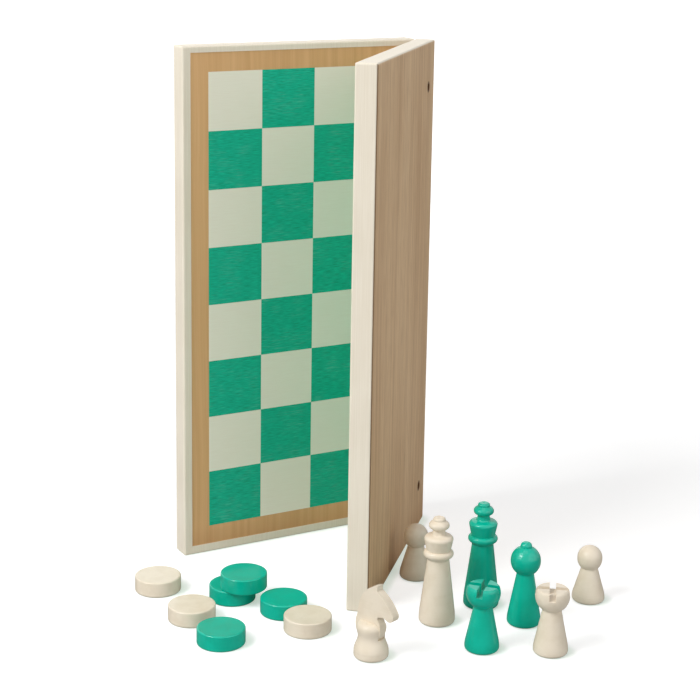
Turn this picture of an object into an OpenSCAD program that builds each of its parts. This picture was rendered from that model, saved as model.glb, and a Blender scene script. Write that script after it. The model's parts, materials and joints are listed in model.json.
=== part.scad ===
// Folding games board with its men and discs.
// The board stands open on its short edges, and the fold line is the Z axis.
// X runs to the right, Y runs away from the viewer, and Z = 0 is the table.
// A leaf is drawn with X from the fold line to its free edge and Y through
// its thickness, from the playing face to the outer face.

/* [Board] */
// Side of the open board, which is the length of a leaf along the fold line
board_side = 300; // [270:1:400]
// Thickness of a leaf
leaf_t = 12.3; // [10.8:0.1:20]
// Angle between the two leaves as the board stands
opening = 47.2; // [35:0.1:80]
// Turn of the right leaf away from straight towards the viewer
right_leaf_turn = 13.8; // [0:0.1:20]
// Radius of the sanded outer edges
edge_round = 1.2; // [0.5:0.1:2]
// Half of the gap left between the leaves at the fold and when closed
fold_gap = 0.15; // [0.1:0.05:0.5]

/* [Leaf construction] */
// Width of the painted rim along the free edge and the foot
rim_w = 5.1; // [3:0.1:8]
// Width of the painted rim along the top, where the printed face sits high
top_rim_w = 3.8; // [3:0.1:8]
// Width of the rail along the fold that holds the hinges
hinge_rail_w = 26; // [24:1:40]
// Thickness of the plain outer panel
outer_panel_t = 2.5; // [1.5:0.1:4]
// Thickness of the playing panel
play_panel_t = 3; // [2:0.1:4]
// Depth of the playing face below the rim
face_recess = 0.3; // [0.1:0.1:1]

/* [Playing field] */
// Width of the wood border between the rim and the squares
border_w = 11; // [6:0.1:20]
// Thickness of the inlaid squares
inlay_t = 0.6; // [0.4:0.1:1]
// Width of the joint between two squares
inlay_joint = 0.04; // [0.02:0.01:0.2]

/* [Hinges] */
// Length of each hinge along the fold
hinge_l = 24; // [18:1:36]
// Distance from a short edge to the middle of its hinge
hinge_inset = 26.5; // [20:1:60]
// Outer radius of the knuckles
knuckle_r = 2; // [1.8:0.1:2.2]
// Radius of the hinge pin
pin_r = 1; // [0.8:0.05:1.2]
// Thickness of the hinge wings
wing_t = 1.5; // [1:0.1:1.6]
// Reach of a wing into its rail
wing_reach = 22; // [18:1:23]
// Distance from the fold line to the wing screw
screw_reach = 16.5; // [8:0.5:18]
// Diameter of the access hole over the wing screw
access_d = 4.5; // [4.4:0.1:5]
// Diameter of the wing screw's head
screw_head_d = 4; // [3:0.1:4.2]
// Diameter of the wing screw's shank
screw_d = 1.9; // [1.5:0.1:2.4]

/* [Discs] */
// Diameter of a disc
disc_d = 25.7; // [20:0.1:26.5]
// Thickness of a disc
disc_t = 8.7; // [6:0.1:12]
// Radius of a disc's rounded rims
disc_round = 0.8; // [0.4:0.1:1.5]

/* [Men] */
// Radius of a king at its foot
king_r = 9.8; // [8:0.1:12]
// Height of a king
king_h = 59.5; // [56:0.1:70]
// Radius of a pawn, bishop, rook or knight at its foot
man_r = 9.1; // [8:0.1:11]
// Radius of the rounded foot of a man
foot_round = 1.9; // [1:0.1:3]
// Radius of a pawn's head
pawn_head_r = 6.9; // [5.5:0.1:8]
// Height of a pawn
pawn_h = 32; // [28:0.1:40]
// Radius of a bishop's head
bishop_head_r = 8.1; // [6.5:0.1:9]
// Height of a bishop to the top of its button
bishop_h = 46.3; // [44:0.1:56]
// Radius of a rook's head
rook_head_r = 9; // [7.5:0.1:10]
// Height of a rook
rook_h = 35.4; // [34:0.1:44]
// Width of the cross slot in a rook
rook_slot_w = 3.3; // [1.5:0.1:4.5]
// Depth of the cross slot in a rook
rook_slot_d = 4; // [2:0.1:6]
// Height of the turned knight's base
knight_base_h = 19.6; // [18.8:0.1:20.4]
// Height of the whole knight
knight_h = 40.7; // [40.1:0.1:44]
// Thickness of the knight's head plate
knight_plate_t = 4.5; // [4:0.1:5.5]
// Turn of the knight's muzzle towards the viewer
knight_turn = 42; // [0:1:60]

/* [Hidden] */
$fn = 64;

// Finishes
cream = "#EDE3D0";
green = "#1E9873";
pale = "#CCC8B4";
wood = "#B89468";
bare_wood = "#C9A982";
brass_tone = "#B8934A";
steel_tone = "#8C8C8C";

// A cutter runs this far past the faces that it opens
over = 1;

// Planes of a leaf through its thickness
rim_y = fold_gap;
play_y = rim_y + face_recess;
core_y = play_y + play_panel_t;
outer_y = fold_gap + leaf_t;
panel_y = outer_y - outer_panel_t;

// Width of a leaf from the fold line to its free edge
leaf_w = board_side / 2;

// Directions of the two leaves, measured from the X axis
right_angle = 270 - right_leaf_turn;
left_angle = right_angle - opening;

// Field of squares on one leaf
rows = 8;
columns = rows / 2;
field_z = rim_w + border_w;
panel_h = board_side - rim_w - top_rim_w;
square_size = (panel_h - 2 * border_w) / rows;
field_w = leaf_w - field_z;

// Hinge details
knuckle_gap = 0.1;
pin_clear = 0.05;
fixed_pin_clear = 0.02;
notch_clear = 0.35;
wing_seat = 0.1;
pin_head_r = 1.5;
pin_head_t = 0.5;
wing_x = fold_gap + 0.15;
tongue_y = knuckle_r + 0.6;
flange_y = (core_y + panel_y) / 2 - wing_t / 2;
knuckle_l = hinge_l / 3;
screw_head_t = 1;
screw_hole_clear = 0.15;
pilot_clear = 0.05;
screw_tip_gap = 0.4;
screw_slot_w = 0.6;
screw_slot_d = 0.5;
hinge_heights = [board_side - hinge_inset, hinge_inset];

// Places of the loose pieces, to the right and away from the viewer. The
// stacked pair of discs lies beyond the sweep of the closing leaves, and the
// other discs lie around it.
stack_bearing = 232.93;
stack_reach = leaf_w + 13.9;
stack_at = [0, 0];
upper_disc_at = [6.6, -4.3];
far_left_disc_at = [-42.5, 10.3];
back_disc_at = [29.2, -17.2];
middle_disc_at = [-19.9, -28];
front_disc_at = [-1.9, -56.2];
right_disc_at = [42.9, -39.4];

// The men stand beyond the reach of the leaves, to the right and towards the
// viewer
cream_king_at = [13.5, 6.9];
green_king_at = [39, -15.7];
green_bishop_at = [60.4, 7.3];
green_rook_at = [35.4, 40.1];
cream_rook_at = [70.9, 42.7];
right_pawn_at = [99.6, -24.5];
knight_at = [-22.4, 50.8];
// The left pawn stands off the outer face of the right leaf
left_pawn_back = 56.6;
left_pawn_off = 14.6;
green_rook_turn = -18;
cream_rook_turn = -7;

// Shape of the knight's base: the waist under the bulb, and the bulb
knight_waist_r = 7;
knight_waist_z = knight_base_h - 7.8;
knight_bulb_r = 7.7;
knight_bulb_z = knight_base_h - 3.2;
knight_crown_r = 3.2;

// Depth of the knight's slot, and how far the plate reaches from the axis
knight_slot_d = 8.5;
knight_slot_clear = 0.05;
knight_back = -9;
knight_chest = 7.8;

// Points along an arc about a centre, from one angle to another
function arc(centre, r, from, to, steps = 8) = [
    for (i = [0 : steps])
        let (a = from + (to - from) * i / steps)
        centre + r * [cos(a), sin(a)]
];

// Angle at which a circle about the axis narrows to a smaller radius
function neck_angle(neck_r, head_r) = acos(neck_r / head_r);

// Foot of a turned man: the axis, the rounded edge up to full radius, and the
// heel, which leans in until it meets the slope of the cone above
function foot(r, lean, heel_h = 3.4) =
    let (heel_r = heel_h / sin(lean))
    concat(
        [[0, 0]],
        arc([r - foot_round, foot_round], foot_round, -90, 0, 6),
        arc([r - heel_r, foot_round], heel_r, lean / 3, lean, 2)
    );

// Places a leaf's own axes along the right leaf or, mirrored, the left leaf
module on_right() {
    rotate([0, 0, right_angle]) children();
}

module on_left() {
    rotate([0, 0, left_angle]) mirror([0, 1, 0]) children();
}

// Rounds the edge along Z of the quarter that opens towards +X and +Y
module edge_cut(length) {
    difference() {
        translate([-over, -over, 0]) cube([edge_round + over, edge_round + over, length]);
        translate([edge_round, edge_round, -over]) cylinder(r = edge_round, h = length + 2 * over);
    }
}

// Outline of a whole leaf, with its sanded edges
module leaf_blank() {
    difference() {
        translate([fold_gap, rim_y, 0]) cube([leaf_w - fold_gap, leaf_t, board_side]);
        // Free edge, front and back
        translate([leaf_w, rim_y, -over]) rotate([0, 0, 90]) edge_cut(board_side + 2 * over);
        translate([leaf_w, outer_y, -over]) rotate([0, 0, 180]) edge_cut(board_side + 2 * over);
        // Spine edge, back only
        translate([fold_gap, outer_y, -over]) rotate([0, 0, -90]) edge_cut(board_side + 2 * over);
        // Top and bottom edges, front and back
        for (end = [0, 1])
            translate([0, 0, end * board_side]) mirror([0, 0, end]) {
                translate([-over, rim_y, 0]) rotate([90, 0, 90]) edge_cut(leaf_w + 2 * over);
                translate([-over, outer_y, 0]) mirror([0, 1, 0]) rotate([90, 0, 90])
                    edge_cut(leaf_w + 2 * over);
                // Corner of the free edge, through the thickness
                translate([leaf_w, outer_y + over, 0]) mirror([1, 0, 0]) rotate([90, 0, 0])
                    edge_cut(leaf_t + 2 * over);
            }
    }
}

// Room in a leaf for the hinges: the notch round the knuckles, the step for
// the legs, the saw slot for the flanges and the holes for the screws
module hinge_room() {
    room_l = hinge_l + 2 * (pin_head_t + notch_clear);
    for (z = hinge_heights) translate([0, 0, z]) {
        translate([0, 0, -room_l / 2]) cylinder(r = knuckle_r + notch_clear, h = room_l);
        translate([0, 0, -hinge_l / 2 - wing_seat]) {
            translate([-over, -over, 0])
                cube([wing_x + wing_t + over, flange_y + wing_t + over, hinge_l + 2 * wing_seat]);
            translate([0, flange_y, 0])
                cube([wing_reach + wing_seat, wing_t, hinge_l + 2 * wing_seat]);
        }
    }
    screw_holes(access_d / 2, flange_y + wing_t, outer_y + over);
    screw_holes(screw_d / 2 + pilot_clear, core_y + screw_tip_gap, flange_y);
}

// Round holes through the thickness at the wing screws
module screw_holes(r, from_y, to_y) {
    for (z = hinge_heights)
        translate([screw_reach, from_y, z]) rotate([-90, 0, 0]) cylinder(r = r, h = to_y - from_y);
}

// Painted rim along the free edge
module outer_stile() {
    intersection() {
        leaf_blank();
        translate([leaf_w - rim_w, rim_y, 0]) cube([rim_w, panel_y - rim_y, board_side]);
    }
}

// Painted rim along a short edge, at the bottom or at the top
module end_rail(top) {
    rail_w = top ? top_rim_w : rim_w;
    intersection() {
        leaf_blank();
        translate([fold_gap, rim_y, top ? board_side - rail_w : 0])
            cube([leaf_w - rim_w - fold_gap, panel_y - rim_y, rail_w]);
    }
}

// Solid rail along the fold, behind the playing panel
module hinge_rail() {
    difference() {
        translate([fold_gap, core_y, rim_w])
            cube([hinge_rail_w - fold_gap, panel_y - core_y, panel_h]);
        hinge_room();
    }
}

// Plywood core between the hinge rail and the stile
module core() {
    translate([hinge_rail_w, core_y, rim_w])
        cube([leaf_w - rim_w - hinge_rail_w, panel_y - core_y, panel_h]);
}

// Plain outer panel over the whole leaf
module outer_panel() {
    difference() {
        intersection() {
            leaf_blank();
            translate([fold_gap, panel_y, 0]) cube([leaf_w - fold_gap, outer_panel_t, board_side]);
        }
        screw_holes(access_d / 2, panel_y - over, outer_y + over);
    }
}

// Playing panel, with one shallow field for the squares
module play_panel() {
    difference() {
        translate([fold_gap, play_y, rim_w])
            cube([leaf_w - rim_w - fold_gap, play_panel_t, panel_h]);
        translate([0, play_y - over, field_z])
            cube([field_w, inlay_t + over, rows * square_size]);
        hinge_room();
    }
}

// Squares of one colour. Parity 0 takes the square at the fold in the bottom
// row, and every other one from there.
module squares(parity) {
    difference() {
        for (column = [0 : columns - 1], row = [0 : rows - 1])
            if ((column + row) % 2 == parity) one_square(column, row);
        hinge_room();
    }
}

// The squares are measured from the border at the free edge. The saw cut
// between the leaves trims the column at the fold.
module one_square(column, row) {
    high_x = field_w - (columns - 1 - column) * square_size - inlay_joint / 2;
    low_x = column == 0 ? fold_gap : high_x - square_size + inlay_joint;
    translate([low_x, play_y, field_z + row * square_size + inlay_joint / 2])
        cube([high_x - low_x, inlay_t, square_size - inlay_joint]);
}

// Knuckles that belong to a wing: the two outer ones or the middle one
function knuckle_starts(outer) = outer ? [-hinge_l / 2, hinge_l / 2 - knuckle_l] : [-knuckle_l / 2];

// Cranked hinge wing: knuckles on the fold line, a leg down the fold edge
// and a flange in the rail's saw slot
module wing(z, outer) {
    bore_r = pin_r + (outer ? fixed_pin_clear : pin_clear);
    length = outer ? knuckle_l : knuckle_l - 2 * knuckle_gap;
    shift = outer ? 0 : knuckle_gap;
    translate([0, 0, z]) difference() {
        union() {
            translate([wing_x, tongue_y, -hinge_l / 2])
                cube([wing_t, flange_y + wing_t - tongue_y, hinge_l]);
            translate([wing_x, flange_y, -hinge_l / 2]) cube([wing_reach - wing_x, wing_t, hinge_l]);
            for (start = knuckle_starts(outer)) translate([0, 0, start + shift]) {
                cylinder(r = knuckle_r, h = length);
                translate([wing_x, 0, 0]) cube([wing_t, tongue_y + wing_t, length]);
            }
        }
        for (start = knuckle_starts(outer))
            translate([0, 0, start + shift - over]) cylinder(r = bore_r, h = length + 2 * over);
        translate([screw_reach, flange_y - over, 0]) rotate([-90, 0, 0])
            cylinder(r = screw_d / 2 + screw_hole_clear, h = wing_t + 2 * over);
    }
}

// Slotted screws that hold the two flanges of a leaf
module wing_screws() {
    seat_y = flange_y + wing_t;
    tip_y = core_y + 2 * screw_tip_gap;
    for (z = hinge_heights) translate([screw_reach, seat_y, z]) rotate([-90, 0, 0]) difference() {
        union() {
            cylinder(d = screw_head_d, h = screw_head_t);
            translate([0, 0, tip_y - seat_y]) cylinder(d = screw_d, h = seat_y - tip_y + screw_head_t / 2);
        }
        translate([-screw_head_d, -screw_slot_w / 2, screw_head_t - screw_slot_d])
            cube([2 * screw_head_d, screw_slot_w, screw_slot_d + over]);
    }
}

// Headed pin through the three knuckles of a hinge
module hinge_pin(z) {
    translate([0, 0, z - hinge_l / 2]) {
        cylinder(r = pin_r, h = hinge_l);
        translate([0, 0, -pin_head_t]) cylinder(r = pin_head_r, h = pin_head_t);
        translate([0, 0, hinge_l]) cylinder(r = pin_head_r, h = pin_head_t);
    }
}

// Place of a disc, by its offset from the lower disc of the stacked pair
function disc_place(at) = stack_reach * [cos(stack_bearing), sin(stack_bearing)] + at;

// Turned disc with rounded rims
module disc(at, level = 0) {
    r = disc_d / 2;
    rim = concat(
        [[0, 0]],
        arc([r - disc_round, disc_round], disc_round, -90, 0, 6),
        arc([r - disc_round, disc_t - disc_round], disc_round, 0, 90, 6),
        [[0, disc_t]]
    );
    translate(concat(disc_place(at), [level])) rotate_extrude() polygon(rim);
}

// Place of a man, by its offset from the free edge's distance
module stand(at) {
    translate([at[0], -leaf_w - at[1], 0]) children();
}

// Pawn: cone with a ball head that is a little taller than a ball
module pawn() {
    neck_r = 4.6;
    belt = 0.8;
    lean = 16;
    top = [0, pawn_h - pawn_head_r];
    low = [0, top[1] - belt];
    rotate_extrude() polygon(concat(
        foot(man_r, lean),
        arc(low, pawn_head_r, -neck_angle(neck_r, pawn_head_r), 0, 8),
        arc(top, pawn_head_r, 0, 90, 12)
    ));
}

// Bishop: taller cone, head like the pawn's and a small button
module bishop() {
    neck_r = 4.6;
    button_r = 3.1;
    button_round = 2.2;
    button_rise = 2.2;
    belt = 0.4;
    lean = 9;
    top = [0, bishop_h - button_rise - bishop_head_r];
    low = [0, top[1] - belt];
    button = [button_r - button_round, bishop_h - button_round];
    rotate_extrude() polygon(concat(
        foot(man_r, lean),
        arc(low, bishop_head_r, -neck_angle(neck_r, bishop_head_r), 0, 9),
        arc(top, bishop_head_r, 0, neck_angle(button_r, bishop_head_r), 9),
        arc(button, button_round, 0, 90, 8),
        [[0, bishop_h]]
    ));
}

// Rook: cone with a cup-shaped head, flat on top and cut by a cross slot
module rook(turn) {
    neck_r = 4.9;
    lean = 11;
    cup_drop = 3.9;
    cup = [0, rook_h - cup_drop];
    rim_round = 0.8;
    rim_angle = asin((cup_drop - rim_round) / rook_head_r);
    top_r = rook_head_r * cos(rim_angle) - rim_round;
    difference() {
        rotate_extrude() polygon(concat(
            foot(man_r, lean),
            arc(cup, rook_head_r, -neck_angle(neck_r, rook_head_r), rim_angle, 14),
            [[top_r, rook_h], [0, rook_h]]
        ));
        rotate([0, 0, turn]) for (quarter = [0, 90]) rotate([0, 0, quarter])
            translate([-rook_head_r - over, -rook_slot_w / 2, rook_h - rook_slot_d])
                cube([2 * (rook_head_r + over), rook_slot_w, rook_slot_d + over]);
    }
}

// King: tall cone, bead, flared crown and a buttoned knob
module king() {
    lean = 6.5;
    heel_h = 5.5;
    shoulder_r = 5.9;
    shoulder_drop = 3.2;
    bead_r = 1.95;
    bead = [6.2, king_h - 20.4];
    crown_r = 7.8;
    crown_round = 1.9;
    crown_top = king_h - 10.3;
    cove_r = 0.7;
    collar_r = 3.6;
    collar = [collar_r + cove_r, crown_top + 1.2];
    cove_foot = [4.1, crown_top + 0.4];
    knob_r = 2.05;
    knob = [3.5, king_h - 4.5];
    button_r = 3.35;
    button_round = 1.3;
    button_seat = [button_r, king_h - 1.9];
    dimple_r = 0.6;
    dimple_d = 0.5;
    rotate_extrude() polygon(concat(
        foot(king_r, lean, heel_h),
        [[shoulder_r, bead[1] - shoulder_drop]],
        arc(bead, bead_r, -75, 80, 10),
        arc([crown_r - crown_round, crown_top - crown_round], crown_round, -5, 80, 8),
        [cove_foot],
        arc(collar, cove_r, 230, 180, 4),
        arc(knob, knob_r, -100, 62, 12),
        [button_seat],
        arc([button_r - button_round, king_h - button_round], button_round, 0, 90, 5),
        [[dimple_r, king_h], [0, king_h - dimple_d]]
    ));
}

// Radius of the base as it swings from one radius to another, as an easy S-curve
function swing_r(from_r, to_r, part) = from_r + (to_r - from_r) * (1 - cos(180 * part)) / 2;

// Points of such a swing between two heights, without its two ends
function swing(from, to, steps) = [
    for (i = [1 : steps - 1])
        let (part = i / steps)
        [swing_r(from[0], to[0], part), from[1] + (to[1] - from[1]) * part]
];

// Bell-shaped base of the knight, slotted for the head plate
module knight_base() {
    lean = 4;
    heel_h = 1.7;
    heel = [man_r, foot_round + heel_h];
    waist = [knight_waist_r, knight_waist_z];
    bulb = [knight_bulb_r, knight_bulb_z];
    difference() {
        rotate_extrude() polygon(concat(
            foot(man_r, lean, heel_h),
            swing(heel, waist, 10),
            [waist],
            swing(waist, bulb, 6),
            arc([knight_bulb_r - knight_crown_r, knight_bulb_z], knight_crown_r, 0, 90, 8),
            [[0, knight_base_h]]
        ));
        rotate([0, 0, -knight_turn])
            translate([-2 * man_r, -knight_plate_t / 2 - knight_slot_clear, knight_base_h - knight_slot_d])
                cube([4 * man_r, knight_plate_t + 2 * knight_slot_clear, knight_slot_d + over]);
    }
}

// Head plate of the knight, sawn to a horse's profile. Its outline is given
// by distance along the muzzle and by height, from the chest round to the back.
module knight_head() {
    tenon_z = knight_base_h - knight_slot_d;
    tenon = [[-7.3, tenon_z], [4.9, tenon_z]];
    chest_r = 9;
    chest = [knight_chest - chest_r, knight_base_h - 2.6];
    throat = [6, knight_h - 16.7];
    jaw = [9.8, knight_h - 15.8];
    muzzle_r = 2.9;
    muzzle = [13.4, knight_h - 14.3];
    face_r = 24.4;
    face = [-5.4, knight_h - 24.8];
    forelock = [5.35, knight_h];
    crest_r = 16.9;
    crest = [9.6, knight_h - 16.4];
    back_r = 12;
    back = [knight_back + back_r, knight_base_h - 2.6];
    outline = concat(
        tenon,
        arc(chest, chest_r, -45, 40, 10),
        [throat, jaw],
        arc(muzzle, muzzle_r, -110, 30, 8),
        arc(face, face_r, 31, 63.9, 10),
        [forelock],
        arc(crest, crest_r, 104.6, 175, 14),
        arc(back, back_r, 155, 212, 10)
    );
    rotate([0, 0, -knight_turn]) translate([0, knight_plate_t / 2, 0]) rotate([90, 0, 0])
        linear_extrude(knight_plate_t) polygon(outline);
}

module right_core() { color(bare_wood) on_right() core(); }
module right_outer_stile() { color(cream) on_right() outer_stile(); }
module right_top_rail() { color(cream) on_right() end_rail(true); }
module right_bottom_rail() { color(cream) on_right() end_rail(false); }
module right_hinge_rail() { color(bare_wood) on_right() hinge_rail(); }
module right_outer_panel() { color(wood) on_right() outer_panel(); }
module right_play_panel() { color(wood) on_right() play_panel(); }
module right_pale_squares() { color(pale) on_right() squares(1); }
module right_green_squares() { color(green) on_right() squares(0); }
module right_upper_wing() { color(brass_tone) on_right() wing(hinge_heights[0], true); }
module right_lower_wing() { color(brass_tone) on_right() wing(hinge_heights[1], true); }
module right_wing_screws() { color(steel_tone) on_right() wing_screws(); }

module left_core() { color(bare_wood) on_left() core(); }
module left_outer_stile() { color(cream) on_left() outer_stile(); }
module left_top_rail() { color(cream) on_left() end_rail(true); }
module left_bottom_rail() { color(cream) on_left() end_rail(false); }
module left_hinge_rail() { color(bare_wood) on_left() hinge_rail(); }
module left_outer_panel() { color(wood) on_left() outer_panel(); }
module left_play_panel() { color(wood) on_left() play_panel(); }
module left_pale_squares() { color(pale) on_left() squares(0); }
module left_green_squares() { color(green) on_left() squares(1); }
module left_upper_wing() { color(brass_tone) on_left() wing(hinge_heights[0], false); }
module left_lower_wing() { color(brass_tone) on_left() wing(hinge_heights[1], false); }
module left_wing_screws() { color(steel_tone) on_left() wing_screws(); }

module upper_hinge_pin() { color(steel_tone) hinge_pin(hinge_heights[0]); }
module lower_hinge_pin() { color(steel_tone) hinge_pin(hinge_heights[1]); }

module far_left_cream_disc() { color(cream) disc(far_left_disc_at); }
module back_green_disc() { color(green) disc(back_disc_at); }
module upper_green_disc() { color(green) disc(upper_disc_at, disc_t); }
module lower_green_disc() { color(green) disc(stack_at); }
module middle_cream_disc() { color(cream) disc(middle_disc_at); }
module front_green_disc() { color(green) disc(front_disc_at); }
module right_cream_disc() { color(cream) disc(right_disc_at); }

module cream_king() { color(cream) stand(cream_king_at) king(); }
module green_king() { color(green) stand(green_king_at) king(); }
module green_bishop() { color(green) stand(green_bishop_at) bishop(); }
module green_rook() { color(green) stand(green_rook_at) rook(90 + green_rook_turn); }
module cream_rook() { color(cream) stand(cream_rook_at) rook(90 + cream_rook_turn); }
module right_cream_pawn() { color(cream) stand(right_pawn_at) pawn(); }
module left_cream_pawn() {
    color(cream) on_right() translate([leaf_w - left_pawn_back, outer_y + left_pawn_off, 0]) pawn();
}
module cream_knight_base() { color(cream) stand(knight_at) knight_base(); }
module cream_knight_head() { color(cream) stand(knight_at) knight_head(); }

right_core();
right_outer_stile();
right_top_rail();
right_bottom_rail();
right_hinge_rail();
right_outer_panel();
right_play_panel();
right_pale_squares();
right_green_squares();
right_upper_wing();
right_lower_wing();
right_wing_screws();
left_core();
left_outer_stile();
left_top_rail();
left_bottom_rail();
left_hinge_rail();
left_outer_panel();
left_play_panel();
left_pale_squares();
left_green_squares();
left_upper_wing();
left_lower_wing();
left_wing_screws();
upper_hinge_pin();
lower_hinge_pin();
far_left_cream_disc();
back_green_disc();
upper_green_disc();
lower_green_disc();
middle_cream_disc();
front_green_disc();
right_cream_disc();
cream_king();
green_king();
green_bishop();
green_rook();
cream_rook();
right_cream_pawn();
left_cream_pawn();
cream_knight_base();
cream_knight_head();
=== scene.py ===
import bpy
import json
import math
from mathutils import Matrix, Vector

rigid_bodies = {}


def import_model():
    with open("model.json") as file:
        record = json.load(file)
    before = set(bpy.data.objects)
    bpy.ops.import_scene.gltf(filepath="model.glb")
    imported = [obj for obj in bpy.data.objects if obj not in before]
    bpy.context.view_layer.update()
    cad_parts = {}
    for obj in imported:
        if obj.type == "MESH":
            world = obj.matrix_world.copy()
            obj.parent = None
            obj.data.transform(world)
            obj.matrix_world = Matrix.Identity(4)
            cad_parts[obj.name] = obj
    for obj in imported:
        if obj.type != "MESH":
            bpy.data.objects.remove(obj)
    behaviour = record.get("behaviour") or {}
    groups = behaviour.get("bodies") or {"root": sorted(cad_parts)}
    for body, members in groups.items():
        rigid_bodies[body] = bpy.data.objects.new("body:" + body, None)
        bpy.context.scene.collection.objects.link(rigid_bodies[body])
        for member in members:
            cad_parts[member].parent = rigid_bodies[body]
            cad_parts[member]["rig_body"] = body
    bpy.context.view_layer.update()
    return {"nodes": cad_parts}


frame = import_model()
nodes = frame["nodes"]
scene = bpy.context.scene

# Directions of the two leaves at rest, from the fold outward, in degrees.
RIGHT_ANGLE = 256.2
LEFT_ANGLE = 209.0
LEAF_W = 0.150
LEAF_H = 0.300
# The access holes over the wing screws: distance from the fold, and heights.
SCREW_U = 0.0165
HINGE_LEVELS = (0.0265, 0.2735)
# The squares: side, and where the first column and row start from the fold and the table.
SQUARE = 0.0336375
FIRST_COLUMN = -0.00065
FIRST_ROW = 0.0161
# How far the rim's paint runs over the ends of the outer panel.
PAINT_OVERLAP = 0.0006
# Radii between which the dark ring round an access hole fades out: painted shade of the hole's edge, with some
# crushed fibres.
RING_IN = 0.0028
RING_OUT = 0.0038
# The table sheet reaches this far from the origin each way.
TABLE_REACH = 6.0
# The share of light that the table gives back to the object, to the camera and to reflections.
TABLE_LIT = (0.65, 0.65, 0.65, 1)
TABLE_SEEN = (0.58, 0.58, 0.58, 1)
TABLE_REFLECTED = (0.22, 0.22, 0.22, 1)
# For the camera the table also glows, more so further out: distances from the fold's foot, and strengths there.
GLOW_NEAR = 0.35
GLOW_FAR = 1.2
GLOW_NEAR_LEVEL = 0.645
GLOW_FAR_LEVEL = 0.95
# The contact shadows: how far they reach, the way they look for what hides the key lamp, and their tint.
CONTACT_REACH = 0.006
CONTACT_LEAN = (-0.80, -0.25, 0.55)
CONTACT_TINT = (0.64, 0.74, 0.66, 1)
WHITE = (1, 1, 1, 1)
# The world's level for light that falls on the object.
WORLD_LEVEL = 0.08
# The camera, fitted to the photo: its place, and its downward tilt and roll in radians.
CAMERA_AT = (-0.036531, -1.002611, 0.386192)
CAMERA_PITCH = 0.208425
CAMERA_ROLL = 0.015777
# Where the soft boxes aim: the middle of the standing board.
BOARD_MIDDLE = (-0.07, -0.05, 0.15)


def srgb(r, g, b):
    def lin(v):
        v /= 255.0
        return v / 12.92 if v <= 0.04045 else ((v + 0.055) / 1.055) ** 2.4
    return (lin(r), lin(g), lin(b), 1.0)


PAINT = srgb(238, 229, 212)
PAINT_SHADE = srgb(231, 221, 202)
WORN_PAINT = srgb(206, 184, 148)


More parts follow.
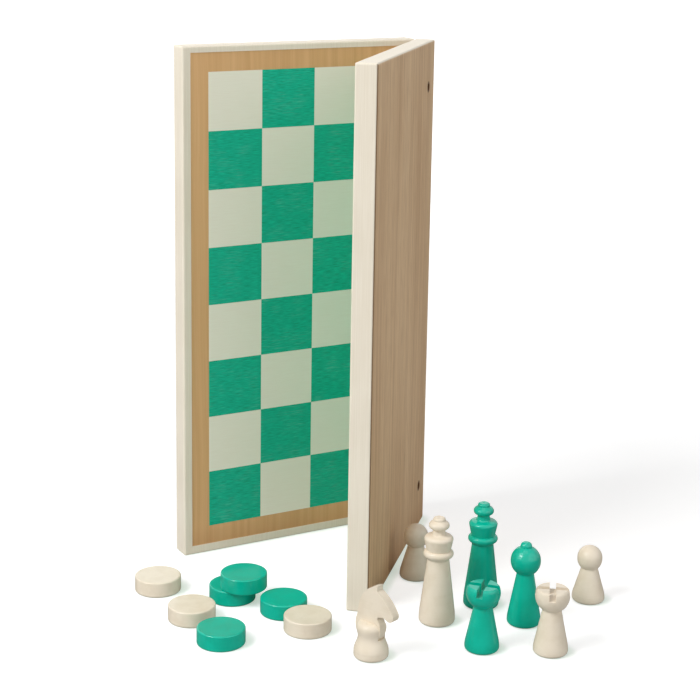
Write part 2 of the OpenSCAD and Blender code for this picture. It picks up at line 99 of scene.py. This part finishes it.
class Mat:
    """A node material and the few calls that build it."""

    def __init__(self, name):
        self.m = bpy.data.materials.new(name)
        self.m.use_nodes = True
        self.t = self.m.node_tree
        self.t.nodes.clear()
        self.out = self.t.nodes.new("ShaderNodeOutputMaterial")
        self.bsdf = self.t.nodes.new("ShaderNodeBsdfPrincipled")
        self.t.links.new(self.bsdf.outputs[0], self.out.inputs[0])

    def link(self, a, b):
        self.t.links.new(a, b)
        return b

    def put(self, socket, value):
        if hasattr(value, "node"):
            self.t.links.new(value, socket)
        else:
            socket.default_value = value

    def set(self, **values):
        names = {"base": "Base Color", "rough": "Roughness", "metal": "Metallic", "normal": "Normal",
                 "spec": "Specular IOR Level", "coat": "Coat Weight", "coat_rough": "Coat Roughness"}
        for k, v in values.items():
            self.put(self.bsdf.inputs[names[k]], v)

    def rest(self, angle=0.0):
        """Rest coordinates in metres, turned so that X runs along a leaf that lies at the angle."""
        co = self.t.nodes.new("ShaderNodeTexCoord")
        if angle == 0.0:
            return co.outputs["Object"]
        mp = self.t.nodes.new("ShaderNodeMapping")
        mp.vector_type = "POINT"
        mp.inputs["Rotation"].default_value = (0, 0, -math.radians(angle))
        self.link(co.outputs["Object"], mp.inputs["Vector"])
        return mp.outputs["Vector"]

    def stretch(self, vec, sx, sy, sz):
        n = self.t.nodes.new("ShaderNodeVectorMath")
        n.operation = "MULTIPLY"
        self.link(vec, n.inputs[0])
        n.inputs[1].default_value = (sx, sy, sz)
        return n.outputs[0]

    def noise(self, vec, scale=1.0, detail=3.0, rough=0.5):
        n = self.t.nodes.new("ShaderNodeTexNoise")
        n.inputs["Scale"].default_value = scale
        n.inputs["Detail"].default_value = detail
        n.inputs["Roughness"].default_value = rough
        self.link(vec, n.inputs["Vector"])
        return n.outputs[0]

    def math(self, op, a, b=None, c=None, clamp=False):
        n = self.t.nodes.new("ShaderNodeMath")
        n.operation = op
        n.use_clamp = clamp
        self.put(n.inputs[0], a)
        if b is not None:
            self.put(n.inputs[1], b)
        if c is not None:
            self.put(n.inputs[2], c)
        return n.outputs[0]

    def band(self, value, lo, hi, out_lo=0.0, out_hi=1.0, smooth=True):
        n = self.t.nodes.new("ShaderNodeMapRange")
        n.interpolation_type = "SMOOTHSTEP" if smooth else "LINEAR"
        n.clamp = True
        self.put(n.inputs["Value"], value)
        n.inputs["From Min"].default_value = lo
        n.inputs["From Max"].default_value = hi
        n.inputs["To Min"].default_value = out_lo
        n.inputs["To Max"].default_value = out_hi
        return n.outputs[0]

    def split(self, vec):
        n = self.t.nodes.new("ShaderNodeSeparateXYZ")
        self.link(vec, n.inputs[0])
        return n.outputs[0], n.outputs[1], n.outputs[2]

    def mix(self, fac, a, b):
        n = self.t.nodes.new("ShaderNodeMix")
        n.data_type = "RGBA"
        self.put(n.inputs[0], fac)
        self.put(n.inputs[6], a)
        self.put(n.inputs[7], b)
        return n.outputs[2]

    def bump(self, height, strength, distance):
        n = self.t.nodes.new("ShaderNodeBump")
        n.inputs["Strength"].default_value = strength
        n.inputs["Distance"].default_value = distance
        self.link(height, n.inputs["Height"])
        return n.outputs[0]

    def edges(self, radius, lo=0.02, hi=0.30):
        """1 along the sharp and rounded edges, 0 on the open faces."""
        bev = self.t.nodes.new("ShaderNodeBevel")
        bev.samples = 6
        bev.inputs["Radius"].default_value = radius
        geo = self.t.nodes.new("ShaderNodeNewGeometry")
        dot = self.t.nodes.new("ShaderNodeVectorMath")
        dot.operation = "DOT_PRODUCT"
        self.link(bev.outputs[0], dot.inputs[0])
        self.link(geo.outputs["Normal"], dot.inputs[1])
        open_face = self.band(dot.outputs["Value"], 1.0 - hi, 1.0 - lo)
        return self.math("SUBTRACT", 1.0, open_face, clamp=True)


def paint_parts(k, vec, base, shade):
    """Colour, roughness and relief of the satin cream paint over fine upright wood grain."""
    fine = k.noise(k.stretch(vec, 1500, 1500, 26), 1.0, 3.0, 0.55)
    broad = k.noise(vec, 22.0, 3.0, 0.5)
    speck = k.noise(vec, 900.0, 2.0, 0.5)
    tone = k.math("ADD", k.math("MULTIPLY", fine, 0.55), k.math("MULTIPLY", broad, 0.45))
    colour = k.mix(k.band(tone, 0.35, 0.65), shade, base)
    rough = k.band(broad, 0.3, 0.7, 0.42, 0.54)
    height = k.math("ADD", k.math("MULTIPLY", fine, 0.8), k.math("MULTIPLY", speck, 0.2))
    return colour, rough, height


def rim_paint(name, angle):
    k = Mat(name)
    vec = k.rest(angle)
    colour, rough, height = paint_parts(k, vec, PAINT, PAINT_SHADE)
    edge = k.edges(0.0006)
    worn = k.math("MULTIPLY", edge, k.band(k.noise(vec, 160.0, 4.0, 0.6), 0.52, 0.70), clamp=True)
    colour = k.mix(k.math("MULTIPLY", worn, 0.45), colour, WORN_PAINT)
    k.set(base=colour, rough=rough, spec=0.30, normal=k.bump(height, 0.25, 0.00008))
    return k.m


def face_wood(name, angle, light, dark, streak, paint_band=0.0):
    """Straight-grained veneer.

    Where paint_band is set, it is an outer panel: its ends and free edge carry the rim's paint, and it has the
    two access holes.
    """
    k = Mat(name)
    vec = k.rest(angle)
    u, v, z = k.split(vec)
    # The grain runs upright and wavers a little from side to side.
    waver = k.noise(k.stretch(vec, 9, 9, 5), 1.0, 2.0, 0.5)
    bend = k.t.nodes.new("ShaderNodeCombineXYZ")
    k.link(k.math("MULTIPLY_ADD", waver, 0.010, u), bend.inputs[0])
    k.link(v, bend.inputs[1])
    k.link(z, bend.inputs[2])
    bent = bend.outputs[0]
    rings = k.noise(k.stretch(bent, 240, 240, 2.2), 1.0, 4.0, 0.55)
    fibre = k.noise(k.stretch(bent, 1900, 1900, 14), 1.0, 3.0, 0.6)
    broad = k.noise(k.stretch(bent, 28, 28, 4), 1.0, 2.0, 0.5)
    pores = k.noise(k.stretch(bent, 2600, 2600, 70), 1.0, 2.0, 0.5)
    tone = k.math("ADD", k.math("MULTIPLY", rings, 0.6), k.math("MULTIPLY", broad, 0.4))
    colour = k.mix(k.band(tone, 0.36, 0.64), dark, light)
    colour = k.mix(k.band(fibre, 0.45, 0.75, 0.0, 0.42), colour, streak)
    colour = k.mix(k.band(pores, 0.62, 0.72, 0.0, 0.35), colour, dark)
    if paint_band > 0.0:
        fleck = k.noise(k.stretch(bent, 1100, 1100, 55), 1.0, 2.0, 0.55)
        brown = k.mix(0.5, dark, srgb(150, 108, 66))
        colour = k.mix(k.band(fleck, 0.50, 0.68, 0.0, 0.40), colour, brown)
    # Painted shade: the wood turns darker and warmer towards the foot, where the board meets the table.
    painted_foot_shade = k.band(z, 0.0, 0.020, 1.0, 0.0)
    colour = k.mix(k.math("MULTIPLY", painted_foot_shade, 0.35), colour, srgb(168, 112, 66))
    rough = k.band(fibre, 0.3, 0.7, 0.38, 0.52)
    height = k.math("ADD", k.math("MULTIPLY", fibre, 0.6), k.math("MULTIPLY", rings, 0.4))
    if paint_band > 0.0:
        # Painted shade round each access hole, where its edge turns into the dark hole, partly also crushed
        # fibres.
        for level in HINGE_LEVELS:
            du = k.math("SUBTRACT", u, SCREW_U)
            dz = k.math("SUBTRACT", z, level)
            square = k.math("ADD", k.math("MULTIPLY", du, du), k.math("MULTIPLY", dz, dz))
            away = k.math("SQRT", square)
            hole_edge_shade_and_wear = k.band(away, RING_IN, RING_OUT, 0.9, 0.0)
            colour = k.mix(hole_edge_shade_and_wear, colour, srgb(96, 62, 34))
        # Darker along the arris at the fold, and painted shade in a thin dark line on the rounded arris beside
        # the painted free edge.
        arris = k.band(u, 0.0008, 0.0018, 1.0, 0.0)
        colour = k.mix(k.math("MULTIPLY", arris, 0.6), colour, srgb(112, 82, 56))
        free_edge_shade = k.band(u, LEAF_W - 0.0016, LEAF_W - 0.0009)
        colour = k.mix(k.math("MULTIPLY", free_edge_shade, 0.75), colour, srgb(104, 78, 50))
        free = k.band(u, LEAF_W - 0.00035, LEAF_W - 0.00015)
        top = k.band(z, LEAF_H - paint_band - 0.00015, LEAF_H - paint_band + 0.00015)
        low = k.band(z, paint_band - 0.00015, paint_band + 0.00015, 1.0, 0.0)
        mask = k.math("MAXIMUM", k.math("MAXIMUM", free, top), low)
        cream = paint_parts(k, vec, PAINT, PAINT_SHADE)[0]
        colour = k.mix(mask, colour, cream)
    k.set(base=colour, rough=rough, spec=0.25, normal=k.bump(height, 0.35, 0.00010))
    return k.m


def inner_wood(name, angle):
    """Bare plywood: layers through the thickness, seen only in the access holes and along the fold."""
    k = Mat(name)
    vec = k.rest(angle)
    ply = k.t.nodes.new("ShaderNodeTexWave")
    ply.bands_direction = "Y"
    ply.inputs["Scale"].default_value = 105.0
    ply.inputs["Distortion"].default_value = 0.6
    ply.inputs["Detail"].default_value = 2.0
    k.link(vec, ply.inputs["Vector"])
    fibre = k.noise(k.stretch(vec, 900, 900, 20), 1.0, 3.0, 0.6)
    colour = k.mix(k.band(ply.outputs["Fac"], 0.3, 0.7), srgb(176, 142, 102), srgb(206, 176, 134))
    colour = k.mix(k.band(fibre, 0.5, 0.8, 0.0, 0.4), colour, srgb(150, 115, 78))
    k.set(base=colour, rough=k.band(fibre, 0.3, 0.7, 0.6, 0.8), normal=k.bump(fibre, 0.4, 0.00015))
    return k.m


def stained_inlay(name, angle, base, deep, pale, streak_u, streak_z, strength):
    """Stained veneer squares.

    The stain takes unevenly along fine level streaks, and each square differs a little.
    """
    k = Mat(name)
    vec = k.rest(angle)
    u, v, z = k.split(vec)
    col = k.math("FLOOR", k.math("DIVIDE", k.math("SUBTRACT", u, FIRST_COLUMN), SQUARE))
    row = k.math("FLOOR", k.math("DIVIDE", k.math("SUBTRACT", z, FIRST_ROW), SQUARE))
    cell = k.t.nodes.new("ShaderNodeCombineXYZ")
    k.link(col, cell.inputs[0])
    k.link(row, cell.inputs[1])
    rnd = k.t.nodes.new("ShaderNodeTexWhiteNoise")
    rnd.noise_dimensions = "3D"
    k.link(cell.outputs[0], rnd.inputs["Vector"])
    each = rnd.outputs["Value"]
    streak = k.noise(k.stretch(vec, streak_u, streak_u, streak_z), 1.0, 4.0, 0.6)
    cloud = k.noise(vec, 70.0, 3.0, 0.55)
    thread = k.noise(k.stretch(vec, streak_u * 2.2, streak_u * 2.2, streak_z * 2.0), 1.0, 2.0, 0.5)
    gate = k.band(cloud, 0.42, 0.62)
    marks = k.math("MULTIPLY", k.band(streak, 0.48, 0.72), gate)
    colour = k.mix(k.band(thread, 0.35, 0.65), deep, base)
    colour = k.mix(k.math("MULTIPLY", marks, strength), colour, pale)
    colour = k.mix(k.band(each, 0.0, 1.0, 0.0, 0.10, smooth=False), colour, deep)
    rough = k.band(streak, 0.3, 0.7, 0.42, 0.58)
    k.set(base=colour, rough=rough, spec=0.25, normal=k.bump(streak, 0.25, 0.00006))
    return k.m


def lacquer(name, base, shade, worn_to, wear, coat):
    """Satin lacquer on turned wood: faint turning lines, soft mottling and light wear on the edges."""
    k = Mat(name)
    vec = k.rest()
    lathe = k.noise(k.stretch(vec, 30, 30, 1400), 1.0, 2.0, 0.5)
    mottle = k.noise(vec, 120.0, 4.0, 0.55)
    peel = k.noise(vec, 650.0, 2.0, 0.5)
    tone = k.math("ADD", k.math("MULTIPLY", lathe, 0.15), k.math("MULTIPLY", mottle, 0.85))
    colour = k.mix(k.band(tone, 0.36, 0.62), shade, base)
    edge = k.edges(0.0005)
    worn = k.math("MULTIPLY", edge, k.band(k.noise(vec, 420.0, 3.0, 0.6), 0.50, 0.70), clamp=True)
    colour = k.mix(k.math("MULTIPLY", worn, wear), colour, worn_to)
    # Painted shade: a dark band round the bottom of each piece, where it stands on the table.
    painted_foot_shade = k.band(k.split(vec)[2], 0.0, 0.0014, 0.55, 0.0)
    colour = k.mix(painted_foot_shade, colour, k.mix(0.5, shade, srgb(40, 34, 26)))
    rough = k.band(mottle, 0.3, 0.7, 0.30, 0.42)
    height = k.math("ADD", k.math("MULTIPLY", lathe, 0.2), k.math("MULTIPLY", peel, 0.8))
    k.set(base=colour, rough=rough, spec=0.14, coat=coat, coat_rough=0.09,
          normal=k.bump(height, 0.22, 0.00007))
    return k.m


def brass(name):
    k = Mat(name)
    vec = k.rest()
    brush = k.noise(k.stretch(vec, 60, 60, 2400), 1.0, 3.0, 0.6)
    stain = k.noise(vec, 240.0, 4.0, 0.6)
    colour = k.mix(k.band(stain, 0.45, 0.75, 0.0, 0.6), srgb(201, 163, 88), srgb(138, 104, 56))
    k.set(base=colour, metal=1.0, rough=k.band(brush, 0.3, 0.7, 0.26, 0.44),
          normal=k.bump(brush, 0.3, 0.00003))
    return k.m


def steel(name):
    k = Mat(name)
    vec = k.rest()
    brush = k.noise(k.stretch(vec, 80, 80, 3000), 1.0, 3.0, 0.6)
    stain = k.noise(vec, 300.0, 3.0, 0.6)
    colour = k.mix(k.band(stain, 0.5, 0.8, 0.0, 0.5), srgb(196, 196, 194), srgb(122, 118, 112))
    k.set(base=colour, metal=1.0, rough=k.band(brush, 0.3, 0.7, 0.22, 0.38),
          normal=k.bump(brush, 0.3, 0.00003))
    return k.m


WOOD_LIGHT = srgb(227, 182, 130)
WOOD_DARK = srgb(213, 166, 114)
WOOD_STREAK = srgb(232, 192, 146)
OUTER_LIGHT = srgb(230, 197, 155)
OUTER_DARK = srgb(207, 170, 128)
OUTER_STREAK = srgb(242, 218, 184)

for side, angle in (("right", RIGHT_ANGLE), ("left", LEFT_ANGLE)):
    paint = rim_paint(side + "_rim_paint", angle)
    border = face_wood(side + "_border_wood", angle, WOOD_LIGHT, WOOD_DARK, WOOD_STREAK)
    outer = face_wood(side + "_outer_wood", angle, OUTER_LIGHT, OUTER_DARK, OUTER_STREAK, PAINT_OVERLAP)
    bare = inner_wood(side + "_inner_wood", angle)
    pale = stained_inlay(side + "_pale_inlay", angle, srgb(244, 241, 225), srgb(242, 238, 221),
                         srgb(245, 243, 229), 36, 1300, 0.15)
    green = stained_inlay(side + "_green_inlay", angle, srgb(14, 198, 164), srgb(0, 162, 129),
                          srgb(96, 196, 172), 85, 2000, 0.75)
    for name, m in (("outer_stile", paint), ("top_rail", paint), ("bottom_rail", paint),
                    ("play_panel", border), ("outer_panel", outer), ("core", bare), ("hinge_rail", bare),
                    ("pale_squares", pale), ("green_squares", green)):
        o = nodes[side + "_" + name]
        o.data.materials.clear()
        o.data.materials.append(m)

cream_lacquer = lacquer("cream_lacquer", srgb(236, 224, 204), srgb(230, 217, 195), WORN_PAINT, 0.30, 0.30)
green_lacquer = lacquer("green_lacquer", srgb(1, 184, 157), srgb(0, 177, 149), srgb(96, 200, 176), 0.30, 0.50)
hinge_brass = brass("hinge_brass")
pin_steel = steel("pin_steel")
for name, o in nodes.items():
    if name.endswith("_wing"):
        m = hinge_brass
    elif name.endswith("_pin") or name.endswith("_screws"):
        m = pin_steel
    elif "leaf" in o.get("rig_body", ""):
        continue
    elif "green" in name:
        m = green_lacquer
    else:
        m = cream_lacquer
    o.data.materials.clear()
    o.data.materials.append(m)


def floor_piece():
    """A wide pale table top. The camera sees it white, and the shadows of the board and the pieces stay on it."""
    mesh = bpy.data.meshes.new("table")
    s = TABLE_REACH
    mesh.from_pydata([(-s, -s, 0), (s, -s, 0), (s, s, 0), (-s, s, 0)], [], [(0, 1, 2, 3)])
    o = bpy.data.objects.new("table", mesh)
    scene.collection.objects.link(o)
    m = bpy.data.materials.new("table_white")
    m.use_nodes = True
    t = m.node_tree
    t.nodes.clear()
    out = t.nodes.new("ShaderNodeOutputMaterial")
    path = t.nodes.new("ShaderNodeLightPath")
    plain = t.nodes.new("ShaderNodeBsdfDiffuse")
    plain.inputs["Color"].default_value = TABLE_LIT
    seen = t.nodes.new("ShaderNodeBsdfDiffuse")
    seen.inputs["Color"].default_value = TABLE_SEEN
    glow = t.nodes.new("ShaderNodeEmission")
    place = t.nodes.new("ShaderNodeTexCoord")
    reach = t.nodes.new("ShaderNodeVectorMath")
    reach.operation = "LENGTH"
    t.links.new(place.outputs["Object"], reach.inputs[0])
    wide = t.nodes.new("ShaderNodeMapRange")
    wide.interpolation_type = "SMOOTHSTEP"
    wide.inputs["From Min"].default_value = GLOW_NEAR
    wide.inputs["From Max"].default_value = GLOW_FAR
    wide.inputs["To Min"].default_value = GLOW_NEAR_LEVEL
    wide.inputs["To Max"].default_value = GLOW_FAR_LEVEL
    t.links.new(reach.outputs["Value"], wide.inputs["Value"])
    t.links.new(wide.outputs[0], glow.inputs["Strength"])
    add = t.nodes.new("ShaderNodeAddShader")
    mix = t.nodes.new("ShaderNodeMixShader")
    # The pieces' contact shadows fall away from the key lamp, to the right.
    near = t.nodes.new("ShaderNodeAmbientOcclusion")
    near.samples = 12
    near.inputs["Distance"].default_value = CONTACT_REACH
    lean = t.nodes.new("ShaderNodeCombineXYZ")
    for i, v in enumerate(CONTACT_LEAN):
        lean.inputs[i].default_value = v
    t.links.new(lean.outputs[0], near.inputs["Normal"])
    dark = t.nodes.new("ShaderNodeMapRange")
    dark.inputs["From Min"].default_value = 0.55
    dark.inputs["From Max"].default_value = 0.97
    dark.inputs["To Min"].default_value = 1.0
    dark.inputs["To Max"].default_value = 0.0
    t.links.new(near.outputs["AO"], dark.inputs["Value"])
    tint = t.nodes.new("ShaderNodeMix")
    tint.data_type = "RGBA"
    tint.inputs[6].default_value = WHITE
    tint.inputs[7].default_value = CONTACT_TINT
    t.links.new(dark.outputs[0], tint.inputs[0])
    t.links.new(tint.outputs[2], glow.inputs["Color"])
    t.links.new(seen.outputs[0], add.inputs[0])
    t.links.new(glow.outputs[0], add.inputs[1])
    t.links.new(path.outputs["Is Camera Ray"], mix.inputs[0])
    dim = t.nodes.new("ShaderNodeBsdfDiffuse")
    dim.inputs["Color"].default_value = TABLE_REFLECTED
    unseen = t.nodes.new("ShaderNodeMixShader")
    t.links.new(path.outputs["Is Glossy Ray"], unseen.inputs[0])
    t.links.new(plain.outputs[0], unseen.inputs[1])
    t.links.new(dim.outputs[0], unseen.inputs[2])
    t.links.new(unseen.outputs[0], mix.inputs[1])
    t.links.new(add.outputs[0], mix.inputs[2])
    t.links.new(mix.outputs[0], out.inputs[0])
    mesh.materials.append(m)


def studio_world():
    """A weak, even light on the object, and plain white behind it for the camera and for reflections."""
    w = bpy.data.worlds.new("studio")
    scene.world = w
    w.use_nodes = True
    t = w.node_tree
    t.nodes.clear()
    out = t.nodes.new("ShaderNodeOutputWorld")
    path = t.nodes.new("ShaderNodeLightPath")
    soft = t.nodes.new("ShaderNodeBackground")
    soft.inputs["Color"].default_value = WHITE
    soft.inputs["Strength"].default_value = WORLD_LEVEL
    white = t.nodes.new("ShaderNodeBackground")
    white.inputs["Color"].default_value = WHITE
    white.inputs["Strength"].default_value = 1.0
    mix = t.nodes.new("ShaderNodeMixShader")
    either = t.nodes.new("ShaderNodeMath")
    either.operation = "MAXIMUM"
    t.links.new(path.outputs["Is Camera Ray"], either.inputs[0])
    t.links.new(path.outputs["Is Glossy Ray"], either.inputs[1])
    t.links.new(either.outputs[0], mix.inputs[0])
    t.links.new(soft.outputs[0], mix.inputs[1])
    t.links.new(white.outputs[0], mix.inputs[2])
    t.links.new(mix.outputs[0], out.inputs[0])


def soft_sun(name, azimuth, elevation, level, spread):
    """A broad, distant lamp. The azimuth is where it stands, anticlockwise from +X, in degrees."""
    data = bpy.data.lights.new(name, "SUN")
    data.energy = level * math.pi
    data.angle = math.radians(spread)
    o = bpy.data.objects.new(name, data)
    az, el = math.radians(azimuth), math.radians(elevation)
    towards = Vector((math.cos(az) * math.cos(el), math.sin(az) * math.cos(el), math.sin(el)))
    o.location = towards * 2.0
    o.rotation_euler = (-towards).to_track_quat("-Z", "Y").to_euler()
    scene.collection.objects.link(o)


def soft_box(name, at, side, watts):
    """A square lamp that faces the middle of the board."""
    data = bpy.data.lights.new(name, "AREA")
    data.shape = "SQUARE"
    data.size = side
    data.energy = watts
    o = bpy.data.objects.new(name, data)
    o.location = at
    o.rotation_euler = (Vector(BOARD_MIDDLE) - Vector(at)).to_track_quat("-Z", "Y").to_euler()
    scene.collection.objects.link(o)


floor_piece()
studio_world()
soft_sun("key", 216.0, 45.0, 0.335, 20.0)
soft_sun("fill", 328.0, 30.0, 0.30, 66.0)
soft_sun("front", 285.0, 25.0, 0.07, 50.0)
soft_sun("back", 110.0, 22.0, 0.12, 60.0)
soft_box("left_box", (-0.75, -0.55, 0.75), 0.6, 5.5)
soft_box("top_box", (-0.1, -0.45, 1.6), 0.9, 3.2)

cam_data = bpy.data.cameras.new("camera")
cam_data.sensor_width = 36.0
cam_data.lens = 86.27
cam_data.shift_y = -0.15076
cam_data.clip_start = 0.01
cam_data.clip_end = 50.0
side_dir = Vector((1, 0, 0))
ahead = Vector((0, math.cos(CAMERA_PITCH), -math.sin(CAMERA_PITCH)))
up_dir = Vector((0, math.sin(CAMERA_PITCH), math.cos(CAMERA_PITCH)))
cam_x = side_dir * math.cos(CAMERA_ROLL) + up_dir * math.sin(CAMERA_ROLL)
cam_y = up_dir * math.cos(CAMERA_ROLL) - side_dir * math.sin(CAMERA_ROLL)
cam = bpy.data.objects.new("camera", cam_data)
turn = Matrix((cam_x, cam_y, -ahead)).transposed().to_4x4()
cam.matrix_world = Matrix.Translation(CAMERA_AT) @ turn
scene.collection.objects.link(cam)
scene.camera = cam

scene.view_settings.view_transform = "Standard"
